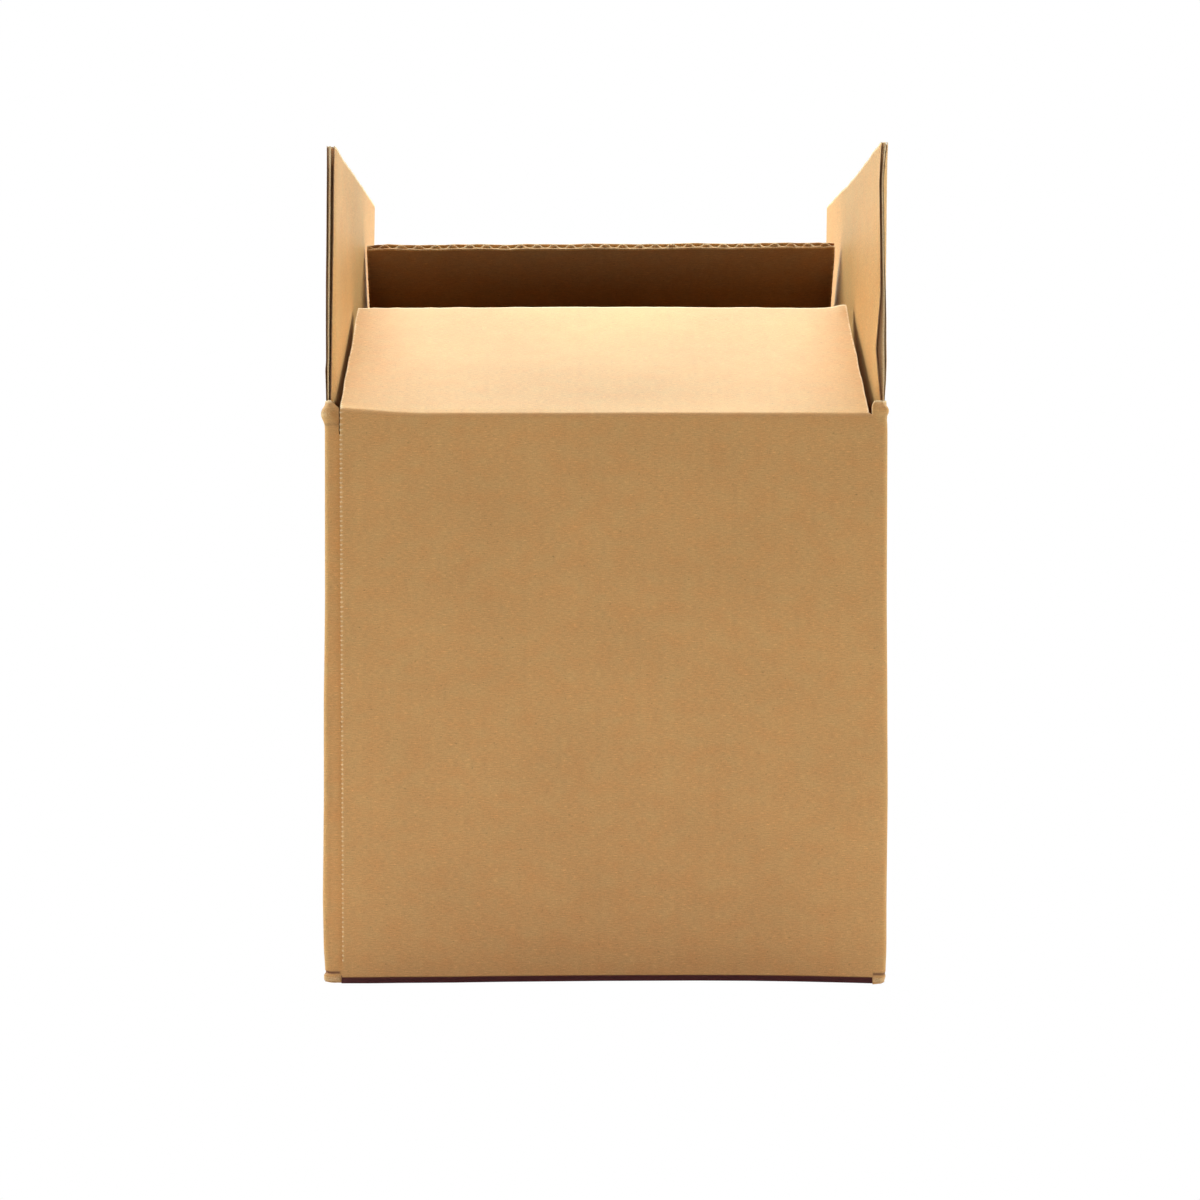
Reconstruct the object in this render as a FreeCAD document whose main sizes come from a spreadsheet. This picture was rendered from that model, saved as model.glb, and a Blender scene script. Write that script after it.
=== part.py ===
import FreeCAD, Part
import math
import os
import Sketcher

# An open cardboard box: a regular slotted carton of C-flute corrugated board.
# X runs from left to right, Y from front to back and Z up. The origin is at the
# middle of the footprint, on the surface that the box stands on.

SIZES = (
    ("inside_length", 228.6, "clear inside, left to right"),
    ("inside_width", 228.6, "clear inside, front to back"),
    ("score_height", 239.4, "from the floor to the line of the four upper creases"),
    ("board", 3.8, "thickness of the corrugated board"),
    ("liner", 0.3, "thickness of each flat facing sheet"),
    ("medium", 0.25, "thickness of the wavy sheet between the facings"),
    ("flute_pitch", 8.1, "from one flute to the next"),
    ("flute_flank", 42.0, "degrees that a flute's flank leans from the board's normal"),
    ("edge_margin", 0.8, "least closed width between a flap's side cut and its first flute"),
    ("crush_length", 7.0, "stretch beside a crease where the flutes are pressed shut"),
    ("flap_length", 114.0, "from a crease to the flap's free edge"),
    ("slot_margin", 6.4, "from the carton's corner to a flap's side cut"),
    ("slot_clearance", 0.4, "between a flap's side cut and the corner post beside it"),
    ("post_rise", 4.6, "how far the corner posts stand above the creases"),
    ("post_slant", 1.8, "how far a post's inner side leans back over its height"),
    ("fold_radius", 3.0, "outside radius of the upright folds and of the bottom folds"),
    ("joint_setback", 6.8, "from the left corner to the front panel's cut edge"),
    ("tab_width", 35.0, "glue tab, from the front panel's cut edge to its free end"),
    ("tab_board", 2.8, "thickness of the crushed glue tab"),
    ("tab_lap", 2.0, "stretch of the tab that keeps its full height behind the cut edge"),
    ("tab_drop", 9.0, "how far the tab's ends stop short of the creases"),
    ("tab_slope", 15.0, "degrees that the tab's ends slope"),
    ("pivot_depth", 0.6, "from the outer face to the line that a flap turns about"),
    ("relief_radius", 1.15, "radius of the scored groove that the flap's rounded edge turns in"),
    ("crease_half", 44.0, "degrees from the board to the side of the crease's open V"),
    ("seat_clearance", 0.4, "between a closed flap and the wall's inner edge"),
    ("front_lean", 63.3, "degrees that the front flap leans in from upright"),
    ("rear_lean", 41.2, "degrees that the rear flap leans in from upright"),
)

# A cutting outline runs this far past the board that it cuts.
OVERRUN = 1.0

# Straight stretches that make up the round of each flute's crest.
CREST_CHORDS = 3

# Distances from the middle of the carton, as formulas of the sizes.
OUTER_X = "(sizes.inside_length / 2 + sizes.board)"
OUTER_Y = "(sizes.inside_width / 2 + sizes.board)"
INNER_X = "(sizes.inside_length / 2)"
INNER_Y = "(sizes.inside_width / 2)"
FLAP_X = f"({OUTER_X} - sizes.slot_margin)"
FLAP_Y = f"({OUTER_Y} - sizes.slot_margin)"
SLOT_X = f"({FLAP_X} + sizes.slot_clearance)"
SLOT_Y = f"({FLAP_Y} + sizes.slot_clearance)"
CUT_EDGE_X = f"({OUTER_X} - sizes.joint_setback)"
POST_TOP = "(sizes.score_height + sizes.post_rise)"
FLOOR_TOP = "(2 * sizes.board)"
UP = FreeCAD.Vector(0, 0, 1)

# Each upper flap: its name, how far its wall's outer face and its own side cuts are from the
# middle, the turn from the front to its side, and its lean. The side flaps stand upright.
FLAPS = (
    ("front_flap", OUTER_Y, FLAP_X, 0, "sizes.front_lean"),
    ("right_flap", OUTER_X, FLAP_Y, 90, "0"),
    ("rear_flap", OUTER_Y, FLAP_X, 180, "sizes.rear_lean"),
    ("left_flap", OUTER_X, FLAP_Y, -90, "0"),
)

doc = FreeCAD.newDocument("open_cardboard_box")


def make_sheet():
    """Put every driving dimension in one sheet, with its name as the alias."""
    sheet = doc.addObject("Spreadsheet::Sheet", "sizes")
    for row, (alias, value, meaning) in enumerate(SIZES, start=1):
        sheet.set(f"A{row}", str(value))
        sheet.setAlias(f"A{row}", alias)
        sheet.set(f"B{row}", meaning)
    doc.recompute()
    return sheet


def origin_feature(body, role):
    """Return the plane or axis of a body's own origin that has this role."""
    for feature in body.Origin.OriginFeatures:
        if feature.Role == role:
            return feature
    raise ValueError(role)


def new_sketch(body, name, plane, offset="0"):
    """Attach an empty sketch to one of the body's planes, moved along its normal."""
    sketch = body.newObject("Sketcher::SketchObject", name)
    sketch.AttachmentSupport = [(origin_feature(body, plane), "")]
    sketch.MapMode = "FlatFace"
    sketch.setExpression(".AttachmentOffset.Base.z", offset)
    return sketch


def place_point(sketch, edge, end, formulas, wanted=(True, True)):
    """Hold the wanted coordinates of one end of an edge at formulas of the sizes."""
    for kind, formula, is_wanted in zip(("DistanceX", "DistanceY"), formulas, wanted):
        if is_wanted:
            value = sketch.evalExpression(formula)
            constraint = sketch.addConstraint(Sketcher.Constraint(kind, -1, 1, edge, end, value))
            sketch.setExpression(f"Constraints[{constraint}]", formula)


def read_point(sketch, formulas):
    """Return the point that two formulas give with the present sizes."""
    return FreeCAD.Vector(*[sketch.evalExpression(formula) for formula in formulas], 0)


def add_edge(sketch, corner, start, stop):
    """Add the line or arc from start to stop, and return the numbers of its two ends."""
    if len(corner) == 2:
        sketch.addGeometry(Part.LineSegment(start, stop))
        return 1, 2
    centre = read_point(sketch, corner[2:4])
    turn = corner[4]
    angles = [math.atan2(point.y - centre.y, point.x - centre.x) for point in (start, stop)]
    circle = Part.Circle(centre, FreeCAD.Vector(0, 0, 1), start.distanceToPoint(centre))
    sketch.addGeometry(Part.ArcOfCircle(circle, *angles[::turn]))
    return (1, 2)[::turn]


def free_way(sketch, corner, stop):
    """Say which coordinates fix an arc's end: the one that changes most along the arc."""
    if len(corner) == 2:
        return True, True
    arm = stop - read_point(sketch, corner[2:4])
    return abs(arm.y) >= abs(arm.x), abs(arm.y) < abs(arm.x)


def draw_outline(sketch, corners):
    """Draw one closed outline. A corner is (x, y), or (x, y, centre_x, centre_y, turn) where
    an arc about that centre leads on to the next corner, anticlockwise if turn is 1."""
    points = [read_point(sketch, corner[:2]) for corner in corners]
    first = sketch.GeometryCount
    count = len(corners)
    ends = [add_edge(sketch, corner, points[index], points[(index + 1) % count])
            for index, corner in enumerate(corners)]
    for index, corner in enumerate(corners):
        edge = first + index
        before = first + (index - 1) % count
        joint = Sketcher.Constraint("Coincident", before, ends[index - 1][1], edge, ends[index][0])
        sketch.addConstraint(joint)
        wanted = free_way(sketch, corners[index - 1], points[index])
        place_point(sketch, edge, ends[index][0], corner[:2], wanted)
        if len(corner) > 2:
            place_point(sketch, edge, 3, corner[2:4])


def mirrored_x(corners):
    """Return the corners on the other side of the sketch's vertical axis."""
    return [(f"-({corner[0]})", corner[1]) for corner in corners]


def extrude(body, kind, sketch, name, length, side="One side"):
    """Add a pad or a pocket of a sketch, as long as the formula says."""
    feature = body.newObject(f"PartDesign::{kind}", name)
    feature.Profile = sketch
    feature.SideType = side
    feature.setExpression("Length", length)
    return feature


def cut_through(body, sketch, name):
    """Cut an outline through everything on both sides of its sketch."""
    feature = body.newObject("PartDesign::Pocket", name)
    feature.Profile = sketch
    feature.SideType = "Symmetric"
    feature.Type = "ThroughAll"
    return feature


def mirror(body, feature, plane, name):
    """Repeat a feature on the other side of one of the body's planes."""
    copy = body.newObject("PartDesign::Mirrored", name)
    copy.Originals = [feature]
    copy.MirrorPlane = (origin_feature(body, plane), [""])
    body.Tip = copy


def wall_ring(body):
    """Pad the four walls from their plan. The board is one strip that starts at the front
    panel's cut edge, runs round the carton and ends in the glue tab behind that edge."""
    plan = new_sketch(body, "walls_plan", "XY_Plane")
    radius = "sizes.fold_radius"
    near = f"({radius} - {OUTER_Y})"
    far = f"({OUTER_Y} - {radius})"
    left = f"({radius} - {OUTER_X})"
    right = f"({OUTER_X} - {radius})"
    tab_fold = f"({radius} - {INNER_Y})"
    draw_outline(plan, (
        (f"-{CUT_EDGE_X}", f"-{OUTER_Y}"),
        (right, f"-{OUTER_Y}", right, near, 1),
        (OUTER_X, near),
        (OUTER_X, far, right, far, 1),
        (right, OUTER_Y),
        (left, OUTER_Y, left, far, 1),
        (f"-{OUTER_X}", far),
        (f"-{OUTER_X}", tab_fold, left, tab_fold, 1),
        (left, f"-{INNER_Y}"),
        (f"-{CUT_EDGE_X}", f"-{INNER_Y}"),
    ))
    tab_face = f"(sizes.tab_board - {INNER_Y})"
    tab_end = f"(sizes.tab_width - {CUT_EDGE_X})"
    draw_outline(plan, (
        (f"-{INNER_X}", tab_face),
        (tab_end, tab_face),
        (tab_end, f"-{INNER_Y}"),
        (INNER_X, f"-{INNER_Y}"),
        (INNER_X, INNER_Y),
        (f"-{INNER_X}", INNER_Y),
    ))
    extrude(body, "Pad", plan, "walls", POST_TOP)


def tab_ends(body):
    """Trim the glue tab short at the top and the bottom, with sloping ends."""
    trim = new_sketch(body, "tab_ends_outline", "XZ_Plane", INNER_Y)
    start = f"(sizes.tab_lap - {CUT_EDGE_X})"
    stop = f"(sizes.tab_width - {CUT_EDGE_X} + {OVERRUN})"
    fall = f"(({stop} - {start}) * tan(sizes.tab_slope))"
    upper = "(sizes.score_height - sizes.tab_drop)"
    lower = f"({FLOOR_TOP} + sizes.tab_drop)"
    draw_outline(trim, (
        (start, upper),
        (stop, f"{upper} - {fall}"),
        (stop, f"{POST_TOP} + {OVERRUN}"),
        (start, f"{POST_TOP} + {OVERRUN}"),
    ))
    draw_outline(trim, (
        (start, lower),
        (start, f"-{OVERRUN}"),
        (stop, f"-{OVERRUN}"),
        (stop, f"{lower} + {fall}"),
    ))
    extrude(body, "Pocket", trim, "tab_ends", f"sizes.tab_board + {OVERRUN}")


def crease_top(body, name, plane, mirror_plane, outer, slot, past_inner):
    """Shape the top of two facing walls between their corner posts: a scored groove just
    inside the outer face, and a slope down to the inner face that gives the fold room."""
    profile = new_sketch(body, f"{name}_profile", plane)
    pivot = f"(sizes.pivot_depth - {outer})"
    height = "sizes.score_height"
    groove_drop = "sqrt(sizes.relief_radius ^ 2 - sizes.pivot_depth ^ 2)"
    seat_drop = "(sizes.board - sizes.pivot_depth + sizes.seat_clearance)"
    clear_top = f"{POST_TOP} + {OVERRUN}"
    draw_outline(profile, (
        (f"-{outer} - {OVERRUN}", f"{height} - {groove_drop}"),
        (f"-{outer}", f"{height} - {groove_drop}", pivot, height, 1),
        (f"{pivot} + sizes.relief_radius * sin(sizes.crease_half)",
         f"{height} - sizes.relief_radius * cos(sizes.crease_half)"),
        (f"{pivot} + {seat_drop} * tan(sizes.crease_half)", f"{height} - {seat_drop}"),
        (past_inner, f"{height} - {seat_drop}"),
        (past_inner, clear_top),
        (f"-{outer} - {OVERRUN}", clear_top),
    ))
    cut = extrude(body, "Pocket", profile, name, f"2 * {slot}", side="Symmetric")
    mirror(body, cut, mirror_plane, f"{name}_opposite")


def post_sides(body, name, plane, slot):
    """Lean the inner sides of the corner posts back, as the slotting knife leaves them."""
    outline = new_sketch(body, f"{name}_outline", plane)
    corner = (
        (slot, "sizes.score_height"),
        (f"{slot} + sizes.post_slant", POST_TOP),
        (f"{slot} + sizes.post_slant", f"{POST_TOP} + {OVERRUN}"),
        (slot, f"{POST_TOP} + {OVERRUN}"),
    )
    draw_outline(outline, corner)
    draw_outline(outline, mirrored_x(corner))
    cut_through(body, outline, name)


def bottom_fold(body, name, plane, mirror_plane, outer, inner, slot, level):
    """Round the lower edge of two facing walls, down to the level of their bottom flaps."""
    outline = new_sketch(body, f"{name}_outline", plane)
    centre = f"(sizes.fold_radius - {outer})"
    fold_top = f"({level} + sizes.fold_radius)"
    draw_outline(outline, (
        (f"-{outer} - {OVERRUN}", f"-{OVERRUN}"),
        (f"{OVERRUN} - {inner}", f"-{OVERRUN}"),
        (f"{OVERRUN} - {inner}", level),
        (centre, level, centre, fold_top, -1),
        (f"-{outer}", fold_top),
        (f"-{outer} - {OVERRUN}", fold_top),
    ))
    cut = extrude(body, "Pocket", outline, name, f"2 * {slot}", side="Symmetric")
    mirror(body, cut, mirror_plane, f"{name}_opposite")


def bottom_flaps(body, name, level, half_width, outer, inner, swapped):
    """Lay a pair of closed bottom flaps, which reach in from two facing walls."""
    plan = new_sketch(body, f"{name}_plan", "XY_Plane", level)
    tip = f"({outer} - sizes.pivot_depth - sizes.flap_length)"
    for wall, end in ((f"-{inner}", f"-{tip}"), (inner, tip)):
        corners = ((f"-{half_width}", wall), (half_width, wall), (half_width, end), (f"-{half_width}", end))
        if swapped:
            corners = [(second, first) for first, second in corners]
        draw_outline(plan, corners)
    extrude(body, "Pad", plan, name, "sizes.board")


def make_carton():
    """Build the folded and glued blank without its four upper flaps."""
    body = doc.addObject("PartDesign::Body", "carton_body")
    wall_ring(body)
    tab_ends(body)
    behind_tab = f"(sizes.tab_board - {INNER_Y} + {OVERRUN})"
    behind_side = f"({OVERRUN} - {INNER_X})"
    crease_top(body, "front_crease", "YZ_Plane", "XZ_Plane", OUTER_Y, SLOT_X, behind_tab)
    crease_top(body, "side_crease", "XZ_Plane", "YZ_Plane", OUTER_X, SLOT_Y, behind_side)
    post_sides(body, "front_slots", "XZ_Plane", SLOT_X)
    post_sides(body, "side_slots", "YZ_Plane", SLOT_Y)
    bottom_fold(body, "front_bottom_fold", "YZ_Plane", "XZ_Plane", OUTER_Y, INNER_Y, SLOT_X, "0")
    bottom_fold(body, "side_bottom_fold", "XZ_Plane", "YZ_Plane", OUTER_X, INNER_X, SLOT_Y, "sizes.board")
    bottom_flaps(body, "outer_bottom_flaps", "0", FLAP_X, OUTER_Y, INNER_Y, False)
    bottom_flaps(body, "inner_bottom_flaps", "sizes.board", FLAP_Y, OUTER_X, INNER_X, True)
    return body


def flap_sheet(body, half_width):
    """Pad one upright flap from its section. It turns about the body's X axis: its lower edge
    is rounded about that line, and its inner side slopes away from the crease."""
    section = new_sketch(body, f"{body.Name}_section", "YZ_Plane")
    outer_face = "-sizes.pivot_depth"
    inner_face = "(sizes.board - sizes.pivot_depth)"
    draw_outline(section, (
        (outer_face, "0", "0", "0", 1),
        ("sizes.pivot_depth * sin(sizes.crease_half)", "sizes.pivot_depth * cos(sizes.crease_half)"),
        (inner_face, f"{inner_face} / tan(sizes.crease_half)"),
        (inner_face, "sizes.flap_length"),
        (outer_face, "sizes.flap_length"),
    ))
    extrude(body, "Pad", section, f"{body.Name}_sheet", f"2 * {half_width}", side="Symmetric")


def flute_hollows(body, half_width):
    """Open the flutes at the flap's free edge. In each pitch one hollow stands on the outer
    liner and one hangs from the inner liner, and what is left between them is the wavy
    medium: straight flanks, and a round crest, in three chords, against each liner."""
    gap = "(sizes.board - 2 * sizes.liner)"
    flank = "sizes.flute_flank"
    rise = f"({gap} - sizes.medium)"
    foot = f"((sizes.flute_pitch / 2 + {gap} * tan({flank}) - sizes.medium / cos({flank})) / 2)"
    crest = f"(({foot} - {rise} * tan({flank})) * cos({flank}) / (1 - sin({flank})))"
    room = f"(2 * {half_width} - 2 * sizes.edge_margin - 2 * {foot} - sizes.flute_pitch / 2)"
    steps = f"floor({room} / sizes.flute_pitch)"
    first = f"(-({steps} * sizes.flute_pitch + sizes.flute_pitch / 2) / 2)"
    second = f"({first} + sizes.flute_pitch / 2)"
    outer_liner = "(sizes.liner - sizes.pivot_depth)"
    inner_liner = "(sizes.board - sizes.pivot_depth - sizes.liner)"
    section = new_sketch(body, f"{body.Name}_flute", "XY_Plane", "sizes.flap_length")
    for middle, liner, way in ((first, outer_liner, "1"), (second, inner_liner, "-1")):
        corners = [(f"{middle} - {way} * {foot}", liner), (f"{middle} + {way} * {foot}", liner)]
        for chord in range(CREST_CHORDS + 1):
            angle = f"({flank} + {chord} * (180 - 2 * {flank}) / {CREST_CHORDS})"
            corners.append((f"{middle} + {way} * {crest} * cos({angle})",
                            f"{liner} + {way} * ({rise} - {crest} * (1 - sin({angle})))"))
        draw_outline(section, corners)
    depth = "sizes.flap_length - sizes.crush_length"
    hollow = extrude(body, "Pocket", section, f"{body.Name}_hollow", depth)
    doc.recompute()
    flutes = body.newObject("PartDesign::LinearPattern", f"{body.Name}_flutes")
    flutes.Originals = [hollow]
    flutes.Direction = (origin_feature(body, "X_Axis"), [""])
    flutes.Mode = "Spacing"
    flutes.setExpression("Offset", "sizes.flute_pitch")
    flutes.setExpression("Occurrences", f"{steps} + 1")
    body.Tip = flutes


def make_flap(name, outer, half_width, turn, lean):
    """Build a flap upright on its crease, lean it in and turn it to its side of the carton."""
    body = doc.addObject("PartDesign::Body", name)
    flap_sheet(body, half_width)
    flute_hollows(body, half_width)
    side = FreeCAD.Rotation(UP, turn)
    leaning = FreeCAD.Rotation(FreeCAD.Vector(1, 0, 0), -SHEET.evalExpression(lean))
    pivot = FreeCAD.Vector(0, SHEET.evalExpression(f"sizes.pivot_depth - {outer}"), 0)
    height = UP * SHEET.evalExpression("sizes.score_height")
    body.Placement = FreeCAD.Placement(side.multVec(pivot) + height, side.multiply(leaning))
    return body


def check_model(parts):
    """Stop if any feature failed or any piece isn't one sound solid."""
    for item in doc.Objects:
        if "Invalid" in item.State or "Error" in item.State:
            raise RuntimeError(f"{item.Name}: {item.State}")
    for part in parts:
        shape = part.Shape
        if shape.isNull() or not shape.isValid() or len(shape.Solids) != 1:
            raise RuntimeError(f"{part.Label} isn't one sound solid")


SHEET = make_sheet()
carton = make_carton()
flaps = [make_flap(*row) for row in FLAPS]
doc.recompute()
pieces = [carton] + flaps
check_model(pieces)
os.makedirs("parts", exist_ok=True)
for piece in pieces:
    piece.Shape.exportStep(f"parts/{piece.Label}.step")
    print(f"{piece.Label}: {piece.Shape.Volume:.0f} mm3, {len(piece.Shape.Faces)} faces")
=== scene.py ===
# %% [markdown]
# An open carton of corrugated board
# The real carton is one sheet of brown board: two flat liners with a wavy medium glued between
# them. It is slotted, scored, folded round four corners and glued along one upright edge. This
# notebook dresses the measured CAD model of it, piece by piece. Every shape is a formula on a
# grid, and every finish is made of nodes.

from collections import namedtuple

import bpy
import numpy as np
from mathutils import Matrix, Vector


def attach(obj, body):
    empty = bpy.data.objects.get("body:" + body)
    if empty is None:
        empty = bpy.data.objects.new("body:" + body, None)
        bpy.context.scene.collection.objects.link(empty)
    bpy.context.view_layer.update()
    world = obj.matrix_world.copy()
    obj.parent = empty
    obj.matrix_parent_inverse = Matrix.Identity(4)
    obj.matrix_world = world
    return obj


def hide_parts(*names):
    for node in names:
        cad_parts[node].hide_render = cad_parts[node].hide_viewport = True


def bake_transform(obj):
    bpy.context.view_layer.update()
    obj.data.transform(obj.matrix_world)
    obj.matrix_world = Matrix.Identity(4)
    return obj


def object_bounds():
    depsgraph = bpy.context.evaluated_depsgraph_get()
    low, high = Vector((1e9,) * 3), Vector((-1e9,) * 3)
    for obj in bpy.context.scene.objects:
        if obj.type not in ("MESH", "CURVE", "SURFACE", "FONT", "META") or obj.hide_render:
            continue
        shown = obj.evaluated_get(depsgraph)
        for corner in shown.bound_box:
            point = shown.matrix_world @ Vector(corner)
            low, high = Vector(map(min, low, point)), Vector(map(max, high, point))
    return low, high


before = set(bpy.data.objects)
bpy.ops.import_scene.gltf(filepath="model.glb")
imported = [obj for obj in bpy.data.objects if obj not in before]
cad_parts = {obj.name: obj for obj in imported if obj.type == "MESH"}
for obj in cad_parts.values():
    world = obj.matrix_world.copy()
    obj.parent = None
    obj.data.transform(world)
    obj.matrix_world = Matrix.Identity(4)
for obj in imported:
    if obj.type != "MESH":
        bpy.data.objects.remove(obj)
cad_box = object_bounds()
print("nodes:", sorted(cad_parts))

# %% [markdown]
# Sizes
# All lengths here are millimetres, as on a carton maker's drawing, and they become metres only
# when a mesh is made. The sheet is measured along its outer face: u runs round the carton from
# the joint at the front left, and v runs up from the bottom crease.

# %% Sizes of the sheet
MM = 0.001           # metres in a millimetre
HALF = round(cad_box[1][0] / MM, 1)  # half the outside width and depth, from the model
BOARD = 3.8          # thickness of the board
LINER = 0.3          # thickness of each flat facing sheet
MEDIUM = 0.25        # thickness of the wavy sheet between them
FLUTE = 8.1          # from one flute to the next
CREASE = 239.4       # height of the upper score line
PIVOT_DEPTH = 0.6    # a flap turns this far below the outer face
FLAP_LONG = 114.0    # length of an upper flap
FLAP_SIDE = 111.7    # half the width of an upper flap
FLAP_WIDE = 223.0    # its clear width, over which the pale rubbing and painted shade beside the cuts are measured
SKIRT_SIDE = 111.95  # half the width of its skirt, below the score
SLOT_SIDE = 111.6    # from a panel's middle to the slot beside a post
JOINT_EDGE = -SLOT_SIDE
TAB_END = -76.3      # where the glue tab ends behind the front panel
WALL_SEAM = 232.4    # the wall's mesh ends here and a flap's skirt takes over
BASE_SEAM = 9.0      # the wall's mesh starts here, above the bottom flaps' fold
PROUD = 0.025        # a liner stands this far outside the solid
KNIFE = 2.0          # from one nick of the toothed knife to the next
INNER_PAINTED_SHADE = -0.35   # painted shade on the faces inside the carton: darker than the faces outside
print("outside width", 2 * HALF, "mm, board", BOARD, "mm, flute pitch", FLUTE, "mm")

# %% [markdown]
# The camera
# The photograph was taken from just in front of the carton's middle height with a longish lens.
# The camera looks level, so upright edges stay upright, and the framing comes from a small
# shift of the lens.

# %% Set up the camera
camera_data = bpy.data.cameras.new("camera")
camera = bpy.data.objects.new("camera", camera_data)
bpy.context.scene.collection.objects.link(camera)
camera.location = (-0.0203, -1.2010, 0.1944)
camera.rotation_euler = (np.radians(90), 0, 0)
camera_data.sensor_width = 36
camera_data.lens = 77.63
camera_data.shift_x = 0.0355
camera_data.shift_y = -0.0667
bpy.context.scene.camera = camera
bpy.context.scene.view_settings.view_transform = "Standard"
print("camera at", tuple(round(c, 3) for c in camera.location), "lens", camera_data.lens)

# %% [markdown]
# Light
# A pale floor and six soft lamps: a broad one high in front, two behind that give the leaning
# flap its shine, one at each side for the inner faces of the side flaps, and a narrow one near
# the floor that only reaches the front's lower edge. The air gives no light of its own, so the
# inside of the carton stays dark. The camera alone sees the floor and the air as plain white.

# %% A helper for lamps
def soft_lamp(name, place, aim, size, power, colour=(1, 1, 1)):
    """Add a rectangular lamp of the given size at a place, turned to face the aim."""
    data = bpy.data.lights.new(name, "AREA")
    data.shape = "RECTANGLE"
    data.size, data.size_y = size
    data.energy = power
    data.color = colour
    lamp = bpy.data.objects.new(name, data)
    bpy.context.scene.collection.objects.link(lamp)
    direction = np.array(aim) - np.array(place)
    sideways = np.hypot(direction[0], direction[1])
    lamp.location = place
    lamp.rotation_euler = (np.arctan2(sideways, -direction[2]), 0,
                           np.arctan2(direction[1], direction[0]) - np.pi / 2)
    return lamp


print("a lamp is turned from straight down to its aim")

# %% Hang the lamps
# Each has a name, a place, an aim, a size in metres, a power in watts and a colour.
LOW_BEAM = np.radians(25)
lamps = [
    soft_lamp("lamp_front", (0, -1.30, 2.50), (0, 0, 0.2), (1.8, 0.9), 29.5, (1.0, 0.935, 0.985)),
    soft_lamp("lamp_behind", (0, 1.9, 0.85), (0, 0, 0.25), (2.6, 1.1), 20.0, (0.95, 1.0, 0.90)),
    soft_lamp("lamp_over", (0, 1.3, 2.1), (0, 0, 0.2), (1.8, 1.0), 92.0, (0.905, 1.0, 0.865)),
    soft_lamp("lamp_left", (-1.25, 0.15, 1.1), (0, 0, 0.25), (0.8, 0.6), 23.5, (0.85, 1.0, 0.95)),
    soft_lamp("lamp_right", (1.25, 0.15, 1.1), (0, 0, 0.25), (0.8, 0.6), 20.5, (0.85, 1.0, 0.95)),
    soft_lamp("lamp_low", (0, -1.0, 0.30), (0, -0.118, 0.0), (0.9, 0.06), 0.065),
]
lamps[-1].data.spread = LOW_BEAM
print(len(lamps), "lamps,", sum(lamp.data.energy for lamp in lamps), "W in all")

# %% The air and the background
world = bpy.data.worlds.new("pale_room")
bpy.context.scene.world = world
world.use_nodes = True
nodes, links = world.node_tree.nodes, world.node_tree.links
nodes.clear()
out = nodes.new("ShaderNodeOutputWorld")
mix = nodes.new("ShaderNodeMixShader")
dim = nodes.new("ShaderNodeBackground")
bright = nodes.new("ShaderNodeBackground")
rays = nodes.new("ShaderNodeLightPath")
dim.inputs["Color"].default_value = (1, 1, 1, 1)
dim.inputs["Strength"].default_value = 0.0
bright.inputs["Color"].default_value = (1, 1, 1, 1)
bright.inputs["Strength"].default_value = 1.0
links.new(rays.outputs["Is Camera Ray"], mix.inputs["Fac"])
links.new(dim.outputs["Background"], mix.inputs[1])
links.new(bright.outputs["Background"], mix.inputs[2])
links.new(mix.outputs["Shader"], out.inputs["Surface"])
print("the air's own light is", dim.inputs["Strength"].default_value)

# %% The floor
FLOOR_HALF = 6.0
FLOOR_LEVEL = -0.0004
floor_mesh = bpy.data.meshes.new("floor")
floor_corners = [(x * FLOOR_HALF, y * FLOOR_HALF, FLOOR_LEVEL)
                 for x, y in ((-1, -1), (1, -1), (1, 1), (-1, 1))]
floor_mesh.from_pydata(floor_corners, [], [(0, 1, 2, 3)])
floor = bpy.data.objects.new("floor", floor_mesh)
bpy.context.scene.collection.objects.link(floor)
floor_paint = bpy.data.materials.new("pale_floor")
floor_paint.use_nodes = True
nodes, links = floor_paint.node_tree.nodes, floor_paint.node_tree.links
nodes.clear()
out = nodes.new("ShaderNodeOutputMaterial")
mix = nodes.new("ShaderNodeMixShader")
rays = nodes.new("ShaderNodeLightPath")
plain = nodes.new("ShaderNodeBsdfDiffuse")
plain.inputs["Color"].default_value = (0.80, 0.80, 0.80, 1)
seen = nodes.new("ShaderNodeEmission")
links.new(rays.outputs["Is Camera Ray"], mix.inputs["Fac"])
links.new(plain.outputs["BSDF"], mix.inputs[1])
links.new(seen.outputs["Emission"], mix.inputs[2])
links.new(mix.outputs["Shader"], out.inputs["Surface"])
floor_mesh.materials.append(floor_paint)
print("floor at", FLOOR_LEVEL, "m, just under the carton")

# %% [markdown]
# Small formulas
# Folds, dents and ragged cuts are all built from three plain curves: a soft step, a soft bump
# and a sum of waves of random direction that gives an uneven field. The random numbers have
# fixed seeds, so the carton is the same every time.

# %% Soft step, soft bump and uneven field
def step(x, low, high):
    """Go from 0 below low to 1 above high along 3 t squared minus 2 t cubed."""
    t = np.clip((np.asarray(x, float) - low) / (high - low), 0, 1)
    return t * t * (3 - 2 * t)


def bump(x, centre, reach):
    """Stand 1 high at the centre and fall to 0 at the reach, as half a cosine."""
    t = np.clip(np.abs(np.asarray(x, float) - centre) / reach, 0, 1)
    return 0.5 + 0.5 * np.cos(np.pi * t)


def uneven(x, y, size, seed, count=10):
    """Add sines of random direction, phase and length near the size: about -1 to 1."""
    random = np.random.default_rng(seed)
    turn = random.uniform(0, 2 * np.pi, count)
    phase = random.uniform(0, 2 * np.pi, count)
    length = size * random.uniform(0.6, 1.7, count)
    x, y = np.asarray(x, float)[..., None], np.asarray(y, float)[..., None]
    ways = (x * np.cos(turn) + y * np.sin(turn)) / length
    return np.sin(2 * np.pi * ways + phase).sum(-1) / np.sqrt(2 * count)


print("step(0.5, 0, 1) =", float(step(0.5, 0, 1)), " bump(0.5, 0, 1) =", float(bump(0.5, 0, 1)))

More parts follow.
